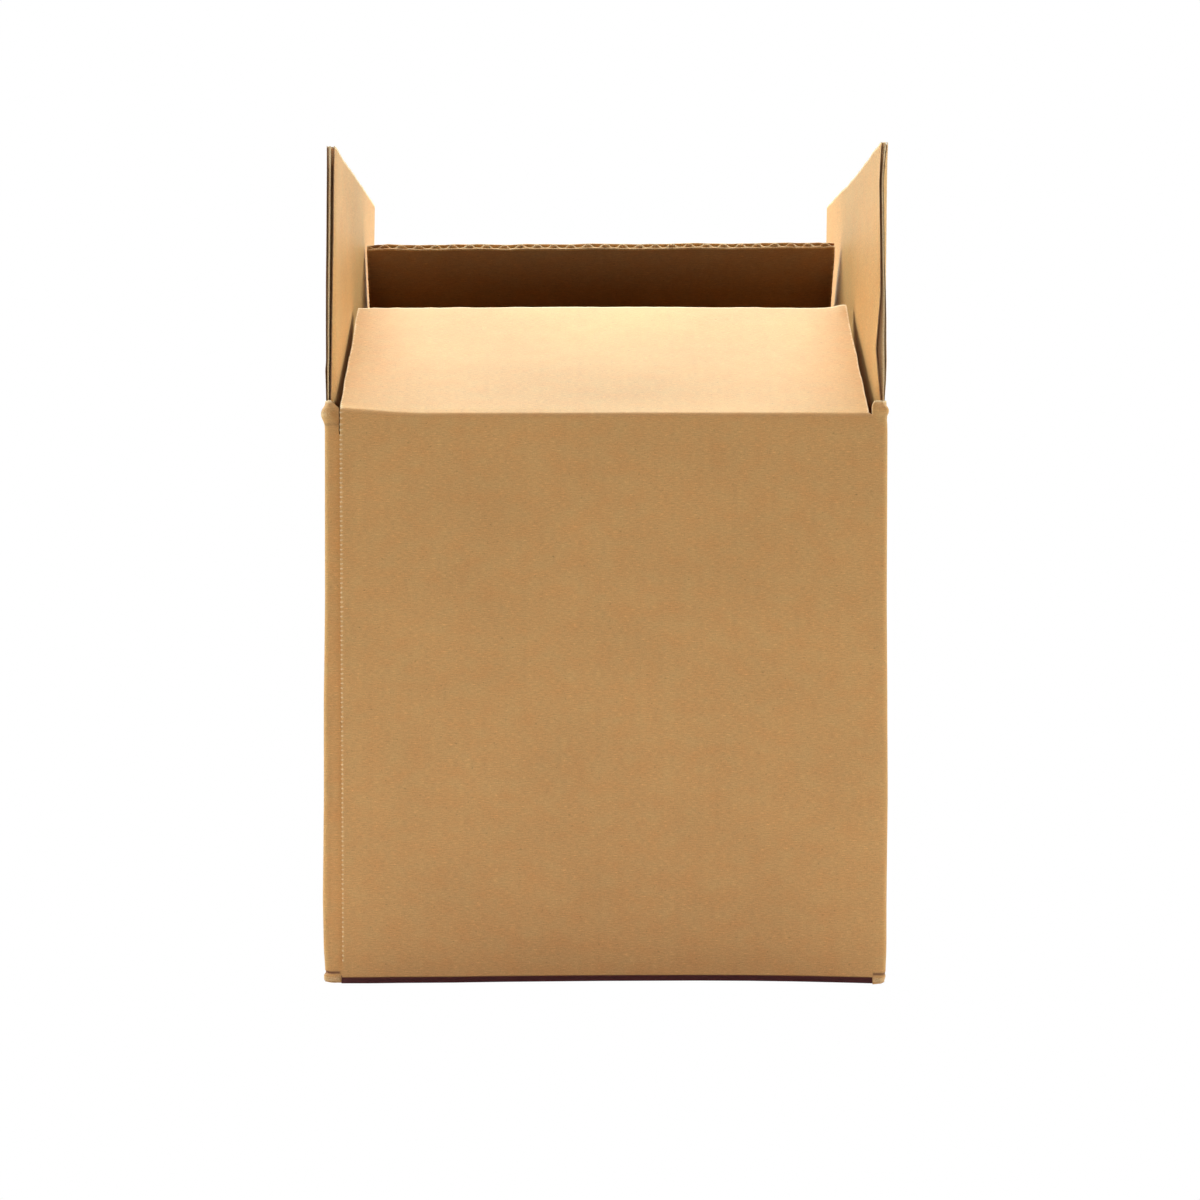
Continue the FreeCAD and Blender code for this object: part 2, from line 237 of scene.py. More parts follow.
# %% [markdown]
# Closed shells
# Paper has two faces and a thin edge. Each shell here is a grid of points for the outer face,
# an equal grid for the inner face, and a rim of faces that joins their borders, so the mesh is
# closed. The rim keeps a mark of its own, because a cut edge looks different from a face.

# %% A closed shell from two grids
FACE, CUT, WAVY = 0, 1, 2  # places of the paints in a piece's list
Shell = namedtuple("Shell", "points faces paint blank worn")


def shell(front, back, blank_front, blank_back, wear_and_painted_light):
    """Join two equal grids of points into one closed shell with a marked rim.

    The last argument is 1 where the paper is pale from rubbing, and at the joint's teeth also a
    painted highlight, and -1 where shade is painted in: in creases, in hollows and on faces inside
    the carton. The faces
    are turned outwards: the sum of a . (b x c + c x d) over the faces must be positive.
    """
    rows, columns = front.shape[:2]
    count = rows * columns
    index = np.arange(count).reshape(rows, columns)
    face = np.stack([index[:-1, :-1], index[:-1, 1:], index[1:, 1:], index[1:, :-1]], -1)
    face = face.reshape(-1, 4)
    border = np.concatenate([index[0], index[1:, -1], index[-1, -2::-1], index[-2:0:-1, 0]])
    after = np.roll(border, -1)
    rim = np.stack([after, border, border + count, after + count], -1)
    points = np.concatenate([front.reshape(-1, 3), back.reshape(-1, 3)])
    blank = np.concatenate([blank_front.reshape(-1, 3), blank_back.reshape(-1, 3)])
    faces = np.concatenate([face, face[:, ::-1] + count, rim])
    paint = np.concatenate([np.full(2 * len(face), FACE), np.full(len(rim), CUT)])
    a, b, c, d = (points[faces[:, k]] for k in range(4))
    volume = (a * (np.cross(b, c) + np.cross(c, d))).sum()
    if volume < 0:
        faces = faces[:, ::-1]
    return Shell(points, faces, paint, blank, np.concatenate([wear_and_painted_light.ravel(), wear_and_painted_light.ravel()]))


corner_x, corner_y = np.meshgrid([0.0, 1.0], [0.0, 1.0])
plate = np.stack([corner_x, corner_y, 0 * corner_x], -1)
cube = shell(plate + np.array([0, 0, 1]), plate, plate, plate, 0 * corner_x)
print("two grids of four points make a shell of", len(cube.faces), "faces")

# %% A Blender object from shells
def make_piece(name, shells, paints, crisp=38):
    """Put the shells into one mesh with their places on the sheet, and make it an object.

    Edges that turn by more than crisp degrees stay sharp.
    """
    starts = np.cumsum([0] + [len(part.points) for part in shells])
    points = np.concatenate([part.points for part in shells]) * MM
    faces = np.concatenate([part.faces + first for part, first in zip(shells, starts)])
    paint = np.concatenate([part.paint for part in shells])
    blank = np.concatenate([part.blank for part in shells]) * MM
    worn = np.concatenate([part.worn for part in shells])
    mesh = bpy.data.meshes.new(name)
    mesh.vertices.add(len(points))
    mesh.vertices.foreach_set("co", points.astype(np.float32).ravel())
    mesh.loops.add(faces.size)
    mesh.loops.foreach_set("vertex_index", faces.astype(np.int32).ravel())
    mesh.polygons.add(len(faces))
    mesh.polygons.foreach_set("loop_start", np.arange(0, faces.size, 4, dtype=np.int32))
    mesh.polygons.foreach_set("material_index", paint.astype(np.int32))
    mesh.update(calc_edges=True)
    mesh.validate()
    place = mesh.attributes.new("blank", "FLOAT_VECTOR", "POINT")
    place.data.foreach_set("vector", blank.astype(np.float32).ravel())
    # One value a point: pale rubbing above zero, painted shade below zero, and a painted highlight
    # at the joint's teeth.
    wear_and_painted_light = mesh.attributes.new("wear_and_painted_light", "FLOAT", "POINT")
    wear_and_painted_light.data.foreach_set("value", worn.astype(np.float32))
    mesh.shade_smooth()
    mesh.set_sharp_from_angle(angle=np.radians(crisp))
    for material in paints:
        mesh.materials.append(material)
    piece = bpy.data.objects.new(name, mesh)
    bpy.context.scene.collection.objects.link(piece)
    print(name, "has", len(points), "points and", 2 * len(faces), "triangles")
    return piece


print("every point of a piece keeps its place on the sheet and its wear")

# %% [markdown]
# Kraft paper as nodes
# Brown kraft liner has long fibres that lie across the flutes, cloudy patches, faint stripes
# where the flutes show through, and a few dark and light specks. One group makes all of this
# from the place on the sheet, so the grain runs on over a fold as it does on the real paper.

# %% Helpers for node trees
def maths(tree, operation, first, second=None):
    """Add a Math node whose inputs are sockets or numbers, and return its output."""
    node = tree.nodes.new("ShaderNodeMath")
    node.operation = operation
    for slot, value in enumerate((first, second)):
        if value is None:
            continue
        if isinstance(value, (int, float)):
            node.inputs[slot].default_value = value
        else:
            tree.links.new(value, node.inputs[slot])
    return node.outputs[0]


def stretched(tree, place, scale):
    """Scale a place on the sheet by three numbers and return the new vector."""
    node = tree.nodes.new("ShaderNodeVectorMath")
    node.operation = "MULTIPLY"
    tree.links.new(place, node.inputs[0])
    node.inputs[1].default_value = scale
    return node.outputs[0]


def cloud(tree, place, scale, detail, rough):
    """Add noise over the stretched place and return its value."""
    node = tree.nodes.new("ShaderNodeTexNoise")
    node.inputs["Scale"].default_value = 1.0
    node.inputs["Detail"].default_value = detail
    node.inputs["Roughness"].default_value = rough
    tree.links.new(stretched(tree, place, scale), node.inputs["Vector"])
    return node.outputs["Fac"]


def new_group(name, inputs, outputs):
    """Start a node group with its sockets, and return the tree and its two end nodes."""
    tree = bpy.data.node_groups.new(name, "ShaderNodeTree")
    for label, kind, value in inputs:
        socket = tree.interface.new_socket(name=label, in_out="INPUT", socket_type=kind)
        if value is not None:
            socket.default_value = value
    for label, kind in outputs:
        tree.interface.new_socket(name=label, in_out="OUTPUT", socket_type=kind)
    return tree, tree.nodes.new("NodeGroupInput"), tree.nodes.new("NodeGroupOutput")


print("node helpers ready")

# %% The kraft group
kraft, given, result = new_group(
    "kraft_paper",
    [("Place", "NodeSocketVector", None), ("Base", "NodeSocketColor", (0.55, 0.30, 0.12, 1)),
     ("Cloud", "NodeSocketFloat", 0.10), ("Fibre", "NodeSocketFloat", 0.16),
     ("Stripe", "NodeSocketFloat", 0.03), ("Wear_and_painted_light", "NodeSocketFloat", 0.0)],
    [("Color", "NodeSocketColor"), ("Height", "NodeSocketFloat")])
place = given.outputs["Place"]
clouds = cloud(kraft, place, (26, 38, 30), 3, 0.55)
hues = cloud(kraft, place, (105, 150, 110), 3, 0.55)
streaks = cloud(kraft, place, (240, 9, 60), 2, 0.5)
fibres = cloud(kraft, place, (420, 2100, 700), 3, 0.6)
grains = cloud(kraft, place, (1700, 1900, 1700), 3, 0.7)
specks = cloud(kraft, place, (640, 700, 640), 1, 0.5)
split = kraft.nodes.new("ShaderNodeSeparateXYZ")
kraft.links.new(place, split.inputs[0])
angle = maths(kraft, "MULTIPLY", split.outputs["X"], 2 * np.pi / (FLUTE * MM))
ridges = maths(kraft, "COSINE", angle)


def around(value, amount):
    """Take a noise value's distance from one half, times an amount."""
    return maths(kraft, "MULTIPLY", maths(kraft, "SUBTRACT", value, 0.5), amount)


def beyond(value, low, high, amount):
    """Rise from 0 at low to the amount at high."""
    node = kraft.nodes.new("ShaderNodeMapRange")
    node.inputs["From Min"].default_value = low
    node.inputs["From Max"].default_value = high
    node.inputs["To Max"].default_value = amount
    kraft.links.new(value, node.inputs["Value"])
    return node.outputs["Result"]


def blended(factor, first, second):
    """Mix two colours, given as sockets or as numbers, by a factor."""
    node = kraft.nodes.new("ShaderNodeMix")
    node.data_type = "RGBA"
    kraft.links.new(factor, node.inputs["Factor"])
    for slot, value in ((6, first), (7, second)):
        if isinstance(value, tuple):
            node.inputs[slot].default_value = value
        else:
            kraft.links.new(value, node.inputs[slot])
    return node.outputs[2]


# Colours that the paper is multiplied by in its patches; the pale colour of paper scuffed by
# rubbing, which at the joint's teeth also paints a highlight; and the colour of painted shade for
# creases, hollows and faces inside the carton.
WARM_TINT = (1.025, 0.96, 0.92, 1)
COOL_TINT = (0.985, 1.03, 1.07, 1)
RUBBED_PALE_AND_HIGHLIGHT = (0.80, 0.59, 0.36, 1)
PAINTED_SHADE = (0.085, 0.013, 0.014, 1)
parts = [around(clouds, given.outputs["Cloud"]),
         maths(kraft, "MULTIPLY", around(streaks, given.outputs["Cloud"]), 0.15),
         around(fibres, given.outputs["Fibre"]), around(grains, given.outputs["Fibre"]),
         maths(kraft, "MULTIPLY", ridges, given.outputs["Stripe"]),
         beyond(fibres, 0.64, 0.74, 0.12), beyond(specks, 0.30, 0.22, -0.12)]
total = parts[0]
for part in parts[1:]:
    total = maths(kraft, "ADD", total, part)
bright = maths(kraft, "ADD", maths(kraft, "MULTIPLY", total, 2.0), 1.0)
tint = kraft.nodes.new("ShaderNodeVectorMath")
tint.operation = "SCALE"
kraft.links.new(given.outputs["Base"], tint.inputs[0])
kraft.links.new(bright, tint.inputs["Scale"])
warm = kraft.nodes.new("ShaderNodeVectorMath")
warm.operation = "MULTIPLY"
kraft.links.new(tint.outputs[0], warm.inputs[0])
patches = blended(beyond(hues, 0.3, 0.7, 1.0), WARM_TINT, COOL_TINT)
kraft.links.new(patches, warm.inputs[1])
# Above zero the paper is mixed towards the pale colour: rubbing, and a painted highlight at the
# joint's teeth. Below zero it is mixed towards painted shade.
wear_and_painted_light = given.outputs["Wear_and_painted_light"]
ragged = maths(kraft, "ADD", wear_and_painted_light, around(grains, 1.6))
pale = maths(kraft, "MULTIPLY", beyond(ragged, 0.15, 0.85, 1.0), beyond(wear_and_painted_light, 0.02, 0.2, 1.0))
rubbed_and_highlit = blended(pale, warm.outputs[0], RUBBED_PALE_AND_HIGHLIGHT)
dark = beyond(wear_and_painted_light, 0.0, -1.0, 1.0)
kraft.links.new(blended(dark, rubbed_and_highlit, PAINTED_SHADE), result.inputs["Color"])
height = maths(kraft, "ADD", maths(kraft, "MULTIPLY", fibres, 0.35),
               maths(kraft, "ADD", maths(kraft, "MULTIPLY", grains, 0.40),
                     maths(kraft, "MULTIPLY", ridges, 0.03)))
kraft.links.new(height, result.inputs["Height"])
print("kraft_paper has", len(kraft.nodes), "nodes")


# %% Paper and cut board
PAPER_SHINE = 0.35


def paper_paint(name, base, rough, cloudy, fibre, stripe, depth):
    """Make a paper material: the kraft group on the sheet's place, and a shallow bump."""
    paint = bpy.data.materials.new(name)
    paint.use_nodes = True
    tree = paint.node_tree
    shader = tree.nodes["Principled BSDF"]
    where = tree.nodes.new("ShaderNodeAttribute")
    where.attribute_name = "blank"
    grain = tree.nodes.new("ShaderNodeGroup")
    grain.node_tree = kraft
    grain.inputs["Base"].default_value = (*base, 1)
    grain.inputs["Cloud"].default_value = cloudy
    grain.inputs["Fibre"].default_value = fibre
    grain.inputs["Stripe"].default_value = stripe
    relief = tree.nodes.new("ShaderNodeBump")
    relief.inputs["Distance"].default_value = depth * MM
    relief.inputs["Strength"].default_value = 1.0
    # This attribute holds pale rubbing, painted shade and painted highlight.
    worn = tree.nodes.new("ShaderNodeAttribute")
    worn.attribute_name = "wear_and_painted_light"
    tree.links.new(worn.outputs["Fac"], grain.inputs["Wear_and_painted_light"])
    tree.links.new(where.outputs["Vector"], grain.inputs["Place"])
    tree.links.new(grain.outputs["Color"], shader.inputs["Base Color"])
    tree.links.new(grain.outputs["Height"], relief.inputs["Height"])
    tree.links.new(relief.outputs["Normal"], shader.inputs["Normal"])
    shader.inputs["Roughness"].default_value = rough
    shader.inputs["Specular IOR Level"].default_value = PAPER_SHINE
    print(name, "base", base)
    return paint


liner_paint = paper_paint("kraft_liner", (0.56, 0.290, 0.104), rough=0.62, cloudy=0.09,
                          fibre=0.31, stripe=0.003, depth=0.10)
cut_paint = paper_paint("cut_edge", (0.62, 0.38, 0.18), rough=0.85, cloudy=0.10,
                        fibre=0.30, stripe=0.0, depth=0.10)
medium_paint = paper_paint("fluting", (0.56, 0.33, 0.15), rough=0.75, cloudy=0.12,
                           fibre=0.18, stripe=0.0, depth=0.08)

# %% [markdown]
# The plan of the wall
# Seen from above, the wall is a line that starts at the joint, goes round four corners and
# ends as the glue tab behind the front panel. Scored corners are rounded outside, and the
# board is pressed thinner there, which is why it can turn so sharply.

# %% The wall's line in plan
CORNER_RADIUS = 2.6
TURNS = np.array([(JOINT_EDGE, -HALF), (HALF, -HALF), (HALF, HALF), (-HALF, HALF),
                  (-HALF, -HALF + BOARD), (TAB_END, -HALF + BOARD)])
RUNS = np.hypot(*np.diff(TURNS, axis=0).T)
STARTS = np.concatenate([[0], np.cumsum(RUNS)])
CORNERS = STARTS[1:-1]
SIDE_MIDDLE = {"front": -JOINT_EDGE, "right": CORNERS[0] + HALF, "rear": CORNERS[1] + HALF,
               "left": CORNERS[2] + HALF}


def plan(u):
    """Return the outer face's place and its outward direction at u, corners rounded."""
    u = np.asarray(u, float)
    run = np.clip(np.searchsorted(STARTS, u, "right") - 1, 0, len(RUNS) - 1)
    way = np.diff(TURNS, axis=0) / RUNS[:, None]
    place = TURNS[run] + way[run] * (u - STARTS[run])[..., None]
    outward = np.stack([way[run][..., 1], -way[run][..., 0]], -1)
    for number, corner in enumerate(CORNERS):
        near = np.abs(u - corner) < CORNER_RADIUS
        turn = (np.clip((u - corner) / CORNER_RADIUS, -1, 1) + 1) * np.pi / 4
        ahead = way[number]
        side = np.array([ahead[1], -ahead[0]])
        centre = TURNS[number + 1] - CORNER_RADIUS * (ahead + side)
        aside = side * np.cos(turn)[..., None] + ahead * np.sin(turn)[..., None]
        place = np.where(near[..., None], centre + CORNER_RADIUS * aside, place)
        outward = np.where(near[..., None], aside, outward)
    return place, outward


print("the wall is", round(float(STARTS[-1]), 1), "mm long with its glue tab")


# %% Dents and thickness of the wall
# How far the wall stands out beside the front's left and right edge, at these heights.
EDGE_HEIGHTS = [6, 14, 35, 77, 119, 160, 224]
LEFT_EDGE_OUT = [0.1, 0.65, 1.0, 0.62, 0.7, 0.22, 0.22]
RIGHT_EDGE_OUT = [-0.6, -0.23, -0.18, 0.32, 0.2, -0.03, 0.2]
CORNER_PRESS = 1.5   # the score takes this much off the board at a corner
TAB_PRESS = 1.0      # the glue tab is crushed by this much


def dent(u, z):
    """Move the wall outwards by a few tenths: broad uneven swells, none at the creases."""
    swell = 0.28 * uneven(u, z, 150, 11) + 0.07 * uneven(u, z, 45, 12)
    corner = sum(bump(u, c, 30) for c in CORNERS)
    left = np.interp(z, EDGE_HEIGHTS, LEFT_EDGE_OUT)
    right = np.interp(z, EDGE_HEIGHTS, RIGHT_EDGE_OUT)
    line = left * step(CORNERS[3] - u, 45, 2) * step(CORNERS[3] - u, -3, 1)
    line = line + right * step(u - CORNERS[0], 45, 2) * step(u - CORNERS[0], -3, 1)
    return swell * (1 - 0.7 * corner) * step(z, 0, 14) - 0.12 + line


def wall_thick(u):
    """Give the board's thickness at u: full, pressed at the corners, thinner on the tab."""
    pressed = sum(bump(u, c, 5.5) for c in CORNERS)
    tab = step(u, CORNERS[3] - 3, CORNERS[3] + 3)
    return BOARD - tab * TAB_PRESS - CORNER_PRESS * pressed * (1 - 0.4 * tab)


print("at a corner the board is", round(float(wall_thick(CORNERS[0])), 2), "mm thick")

# %% [markdown]
# The wall with its corner posts
# Between the flaps the sheet is slotted, and a short post of board is left standing at each
# corner. The grid's top and bottom rows follow that outline: low under a flap, where the
# flap's own board takes over, and high on a post.

# %% The wall's upper and lower outline
# Distance from the corner and height of a post's top, for three posts and for the left one.
POST_TOP = ([0, 2, 5.2, 6.1, 6.5], [244.0, 244.5, 244.4, 243.2, 241.6])
LEFT_POST_TOP = ([0, 2.2, 6.2], [244.6, 244.8, 241.2])
POST_WIDE = HALF - SLOT_SIDE
TAB_START_TOP = 6.0
TAB_START_FOOT = 7.6
TAB_LOWER = 9.0      # the glue tab ends this far inside the two score lines
TAB_SLOPE = 0.6 * np.tan(np.radians(15))


def from_corner(u):
    """Return the distance along the sheet from the nearest corner."""
    return np.min(np.abs(np.asarray(u, float)[..., None] - CORNERS), -1)


def wall_top(u):
    """Give the height of the wall's upper edge: posts at the corners, a seam under flaps."""
    q = from_corner(u)
    top = np.where(q < POST_WIDE, np.interp(q, *POST_TOP), WALL_SEAM)
    behind = u - (CORNERS[3] + TAB_START_TOP)
    tab = CREASE - TAB_LOWER - TAB_SLOPE * np.clip(behind - 20, 0, None)
    top = np.where(behind > 0, tab, top)
    left_post = np.interp(u - CORNERS[3], *LEFT_POST_TOP)
    return np.where((behind <= 0) & (u > CORNERS[3] - 2), np.minimum(left_post, top + 9), top)


def wall_foot(u):
    """Give the height of the wall's lower edge: short posts at the corners, a seam between."""
    q = from_corner(u)
    wide = np.where(u > CORNERS[3], TAB_START_FOOT, POST_WIDE)
    foot = np.where(q < wide, 0.05 + 0.3 * bump(q, 0, 3), BASE_SEAM)
    behind = u - (CORNERS[3] + TAB_START_FOOT)
    tab = TAB_LOWER + TAB_SLOPE * np.clip(behind - 18, 0, None)
    return np.where(behind > 0, tab, foot)


print("a post stands", round(float(wall_top(CORNERS[0] - 5.0)), 1), "mm high")

# %% The wall's grid
JOINT_STRIP = 3.0    # the toothed edge of the joint is a shell of its own, this wide
FOOT_LEVEL = 12.0    # below this level the rows follow the lower outline
HEAD_LEVEL = 228.0   # above this level they follow the upper outline
TOP_LEVEL = 246.0
u_lines = [np.arange(JOINT_STRIP, STARTS[-1], 4.2), [STARTS[-1]],
           CORNERS[3] + TAB_START_TOP + np.array([-0.1, 0.0])]
for corner in CORNERS:
    u_lines.append(corner + np.linspace(-8.1, 8.1, 47))
    u_lines.append(corner + np.array([-6.55, -6.45, 6.45, 6.55]))
u_lines = np.unique(np.round(np.concatenate(u_lines), 2))
u_lines = u_lines[(u_lines >= JOINT_STRIP) & (u_lines <= STARTS[-1])]
levels = np.concatenate([np.linspace(0, FOOT_LEVEL, 25), np.linspace(16, 224, 47),
                         np.linspace(HEAD_LEVEL, TOP_LEVEL, 19)])


def wall_height(u, level):
    """Squeeze the even levels between the wall's lower and upper outline at u."""
    low, high = wall_foot(u), wall_top(u)
    foot = low + level / FOOT_LEVEL * (FOOT_LEVEL - low)
    share = (level - HEAD_LEVEL) / (TOP_LEVEL - HEAD_LEVEL)
    head = HEAD_LEVEL + share * (high - HEAD_LEVEL)
    return np.where(level < FOOT_LEVEL, foot, np.where(level > HEAD_LEVEL, head, level))


U, LEVEL = np.meshgrid(u_lines, levels)
Z = wall_height(U, LEVEL)
print("the wall's grid is", U.shape)


# %% Bulge the posts and place the wall
# How far each corner's post stands out at these heights: the front right, rear right, rear left
# and front left corner.
POST_HEIGHTS = [0, 1.2, 3.2, 4.2, 5.2, 8, 232, 234.6, 236.2, 238, 239.5, 241.4, 243, 244.6]
POST_OUT = [[-2.2, -1.0, -0.1, -0.5, 0, 0, 0, -0.1, -0.2, -0.2, 0.6, 0.6, -0.7, -1.4],
            [-1.2, -0.4, 0.1, -0.5, 0, 0, 0, 0, 0.3, 0.7, 0.6, 0.2, -0.6, -1.3],
            [-1.0, -0.3, 0.1, -0.5, 0, 0, 0, 0, 0.2, 0.6, 0.7, 0.1, -0.5, -1.2],
            [-0.4, 0.4, 0.5, -0.7, 0, 0, 0, 0.2, 1.0, 1.9, 1.9, 1.3, 0.1, -0.9]]


def post_swell(u, z):
    """Shape the posts: a swollen ring at the score, chamfered tips, a fold and dents below."""
    out = 0 * z
    for corner, table in zip(CORNERS, POST_OUT):
        out = out + np.interp(z, POST_HEIGHTS, table) * bump(u, corner, 7.5)
    ends = bump(z, 0, 7) + bump(z, 242, 8)
    crumple = uneven(u, z, 4.0, 71) * ends * step(from_corner(u), 7, 5)
    return out + 0.28 * crumple


def wall_point(u, z, depth):
    """Place a point of the wall: plan, height, dent and depth below the outer face."""
    place, outward = plan(u)
    out = dent(u, z) + post_swell(u, z) - depth
    flat = place + outward * out[..., None]
    return np.concatenate([flat, z[..., None]], -1)


def wall_wear_and_painted_shade(u, z):
    """Rub the post tips pale, paint shade into the little fold near a post's foot, and make a thin
    ring at 234.6 mm beside the front left corner darker.
    """
    near = step(from_corner(u), 7, 6)
    tip = step(z, 243.2, 244.4) * 0.9 + 0.45 * bump(z, 238.8, 2.5) * bump(u, CORNERS[3], 4)
    ring = 0.35 * bump(z, 234.6, 0.8) * step(u, CORNERS[3] - 3, CORNERS[3])
    return near * (tip - ring - 0.9 * bump(z, 4.3, 0.9) + 0.4 * bump(z, 1.6, 2.2))


outer = wall_point(U, Z, np.zeros_like(U))
inner = wall_point(U, Z, wall_thick(U))
wall_shell = shell(outer, inner, np.stack([U, Z, 0 * U], -1),
                   np.stack([U, Z, wall_thick(U)], -1), wall_wear_and_painted_shade(U, Z))
# Painted shade: the wall's inner faces are made darker.
wall_shell.worn[U.size:] += INNER_PAINTED_SHADE

# %% The toothed edge of the joint
def tooth_wave(z):
    """Rise from 0 at each nick to 1 half way to the next: |sin(pi z / pitch)|."""
    return np.abs(np.sin(np.pi * z / KNIFE))


def joint_teeth(z):
    """Give the joint's cut edge: points every 2 mm, each with its own small reach."""
    random = np.random.default_rng(61)
    size = random.uniform(0.5, 1.1, 140)
    number = np.clip((z / KNIFE + 0.5).astype(int), 0, 139)
    tooth = 0.42 * size[number] * (tooth_wave(z) ** 0.6 - 0.5)
    return tooth + 0.15 + 1.2 * np.clip(1 - z / 235, 0, 1)


def teeth_rub_and_painted_highlight(distance, z):
    """Rub the paper pale at the nicks, within 2 mm of the toothed cut: partly pale crushed fibre
    and partly a painted highlight where the tips catch the light.
    """
    return 0.75 * step(distance, 1.9, 0.5) * np.clip(1.4 - 1.9 * tooth_wave(z), 0, 1)


teeth_u, teeth_z = np.meshgrid([0, 0.25, 0.6, 1.1, 1.8, JOINT_STRIP],
                               np.arange(8.5, WALL_SEAM + 0.1, 0.25))
strip_u = teeth_u + joint_teeth(teeth_z) * (1 - teeth_u / JOINT_STRIP)
pressed = 0.35 * np.clip(1 - teeth_u / 0.8, 0, 1) * tooth_wave(teeth_z)
full = BOARD + 0 * pressed
joint_shell = shell(wall_point(strip_u, teeth_z, pressed), wall_point(strip_u, teeth_z, full),
                    np.stack([strip_u, teeth_z, pressed], -1),
                    np.stack([strip_u, teeth_z, full], -1), teeth_rub_and_painted_highlight(teeth_u, teeth_z))
walls = make_piece("carton_walls", [wall_shell, joint_shell], [liner_paint, cut_paint])
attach(walls, "carton")
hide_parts("carton_body")

# %% [markdown]
# A fold
# Every flap is a board bent along its score. Along the sheet the outer face goes straight,
# round an arc, and straight again. All layers follow that line at their own depth, and the
# score presses them together at the bend.

# %% The line of a fold
def fold_line(h, lean, radius, rise):
    """Go along the outer face by h from the middle of the bend, straight, arc, straight.

    Returns how far out and up the point is, and how far the face has turned. The two straight
    parts meet at the height rise, and the arc touches both.
    """
    reach = radius * np.tan(lean / 2)
    half = radius * lean / 2
    turn = np.clip((h + half) / radius, 0, lean)
    beyond = np.clip(h - half, 0, None)
    before = np.clip(h + half, None, 0)
    out = -radius * (1 - np.cos(turn)) - np.sin(lean) * beyond
    up = rise - reach + radius * np.sin(turn) + np.cos(lean) * beyond + before
    return out, up, turn


def side_frame(side):
    """Return a side's directions along the sheet and outwards, in plan."""
    along = {"front": (1, 0), "right": (0, 1), "rear": (-1, 0), "left": (0, -1)}[side]
    return np.array(along, float), np.array([along[1], -along[0]], float)


print("a 90 degree fold turns its face from", fold_line(np.array([-5.0, 5.0]), np.pi / 2, 3, 0)[2])

# %% [markdown]
# The upper flaps
# Each flap is three sheets: outer liner, wavy medium and inner liner. The knife that cut its
# sides pinched the liners together and left small nicks two millimetres apart. At the free
# edge the flutes are open, so there the waves are real geometry.

# %% Ragged cut along a side
def nicks(v, seed):
    """Give the ragged line of a knife cut: nicks 2 mm apart and a slow wander, in mm."""
    random = np.random.default_rng(seed)
    size = random.uniform(0.35, 1.0, 400)
    number = np.clip(np.floor(v / KNIFE).astype(int) + 100, 0, 399)
    tooth = tooth_wave(v) ** 0.7
    return 0.28 * size[number] * (tooth - 0.6) + 0.12 * uneven(v, 0 * v, 30, seed + 1)


print("nicks reach", round(float(np.ptp(nicks(np.linspace(0, 110, 800), 5))), 2), "mm")


# %% One flap's layers
CUT_REACH = 9.0      # the board is thinner within this distance of a side cut
LEAST_BOARD = 1.3    # the score presses it no thinner than this


def by_height(h, table):
    """Read a value between the rows of a table of heights and values."""
    return np.interp(h, table[0], table[1])


def flap_layer(spec, x_share, h, depth_share, wave=None):
    """Place a layer of a flap: across by x_share, up the sheet by h, between the liners.

    The side cuts follow their own lines. Within 9 mm of a cut the board thins to what the
    knife left, and at the bend it thins to what the score left. The whole board may warp.
    """
    lean, radius = spec["lean"], spec["radius"]
    rise = PIVOT_DEPTH * np.tan(lean / 2)
    cut = step(h, -1.5, 1.0)
    left = by_height(h, spec["left_line"]) + spec["rough"] * nicks(h, spec["seed"]) * cut
    right = by_height(h, spec["right_line"]) + spec["rough"] * nicks(h, spec["seed"] + 7) * cut
    skirt = step(h, 1.4, -0.6)
    left = left + (spec["skirt"][0] - left) * skirt
    if spec["side"] == "front":
        left = left + joint_teeth(CREASE + h) * step(h, 3.0, 1.0)
    right = right + (spec["skirt"][1] - right) * skirt
    x = left + (right - left) * x_share
    near_left = np.clip(1 - (x - left) / CUT_REACH, 0, 1) ** 2 * cut
    near_right = np.clip(1 - (right - x) / CUT_REACH, 0, 1) ** 2 * cut
    inset = near_left * by_height(h, spec["left_cut"][:2]) + near_right * by_height(
        h, spec["right_cut"][:2])
    thick = BOARD + near_left * (by_height(h, spec["left_cut"][::2]) - BOARD) + near_right * (
        by_height(h, spec["right_cut"][::2]) - BOARD)
    crush = spec["crush"] * bump(h, 0, 5.5)
    thick = np.maximum(thick - crush * (1 - near_left - near_right), LEAST_BOARD)
    depth = inset + depth_share * thick
    if wave is not None:
        room = np.clip(thick / 2 - LINER - MEDIUM / 2, 0.05, None)
        fluff = MEDIUM * (1 + 1.2 * np.clip(1 - np.minimum(x - left, right - x) / 1.2, 0, 1))
        depth = inset + thick / 2 + room * wave + (depth_share - 0.5) * fluff
    out, up, turn = fold_line(h, lean, radius, rise)
    up = up + spec["lift"](x) * step(h, 60, 0) * step(h, -7, -1)
    u = SIDE_MIDDLE[spec["side"]] + x
    swell = dent(u, np.clip(CREASE + h, 0, CREASE)) * step(h, 6, -2) + spec["warp"](x, h)
    out = out + (swell - depth) * np.cos(turn)
    up = up + (swell - depth) * np.sin(turn)
    along, outward = side_frame(spec["side"])
    flat = x[..., None] * along + (HALF + out)[..., None] * outward
    place = np.concatenate([flat, (CREASE + up)[..., None]], -1)
    return place, np.stack([u, CREASE + h, depth], -1)


print("the board is", BOARD, "mm thick and never under", LEAST_BOARD, "mm at a bend")

# %% The free edge and the cuts of a flap: pale rubbing and painted shade
RAGGED_WIDE = 220.0  # the flap's width as the ragged free edge counts it


